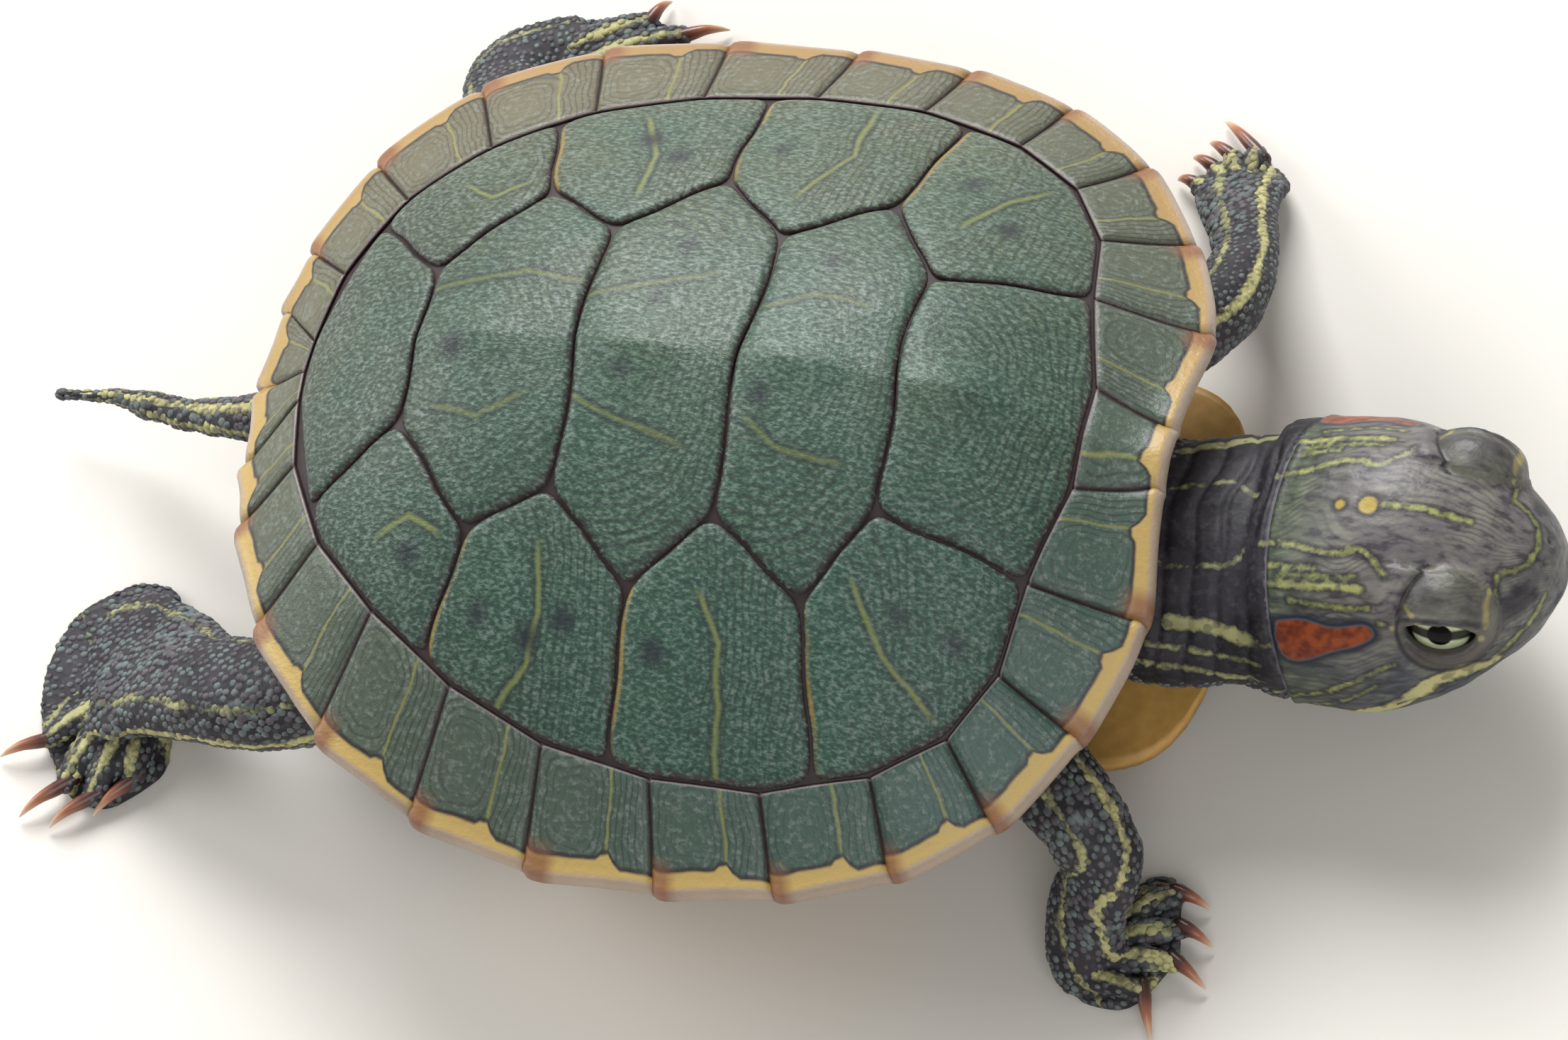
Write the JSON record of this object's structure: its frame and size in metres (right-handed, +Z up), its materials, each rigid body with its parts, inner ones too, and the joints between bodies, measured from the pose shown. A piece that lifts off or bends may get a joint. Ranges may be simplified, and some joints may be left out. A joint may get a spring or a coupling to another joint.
{
  "type": "red-eared slider turtle",
  "caption": "Young red-eared slider turtle in mid-step with its head out: keeled green shell, yellow-striped dark skin and a red patch behind each eye. A still, life-size model.",
  "frame": {"origin": "on the ground under the middle of the whole animal's outer box", "axes": "+X forward, from the tail to the head; +Y to the animal's left; +Z up"},
  "size_m": [0.0618, 0.0414, 0.0173],
  "materials": {
    "carapace_horn": "dark green horn plates with a soft sheen",
    "plastron_horn": "mustard yellow horn plates with dark marks",
    "body_skin": "dark scaly skin with yellow stripes",
    "head_skin": "smooth olive skin with thin yellow-green lines and a red patch",
    "eyeball": "wet, with a pale green iris and a black bar"
  },
  "bodies": {
    "root": {"carapace": "carapace_horn", "plastron": "plastron_horn", "bridge_left": "plastron_horn", "bridge_right": "plastron_horn", "trunk": "body_skin", "neck": "body_skin", "tail": "body_skin", "head": "head_skin", "jaw": "head_skin", "eye_left": "eyeball", "eye_right": "eyeball", "foreleg_left_upper": "body_skin", "foreleg_left_forearm": "body_skin", "foreleg_left_foot": "body_skin", "foreleg_right_upper": "body_skin", "foreleg_right_forearm": "body_skin", "foreleg_right_foot": "body_skin", "hindleg_left_thigh": "body_skin", "hindleg_left_shank": "body_skin", "hindleg_left_foot": "body_skin", "hindleg_right_thigh": "body_skin", "hindleg_right_shank": "body_skin", "hindleg_right_foot": "body_skin"}
  },
  "joints": []
}
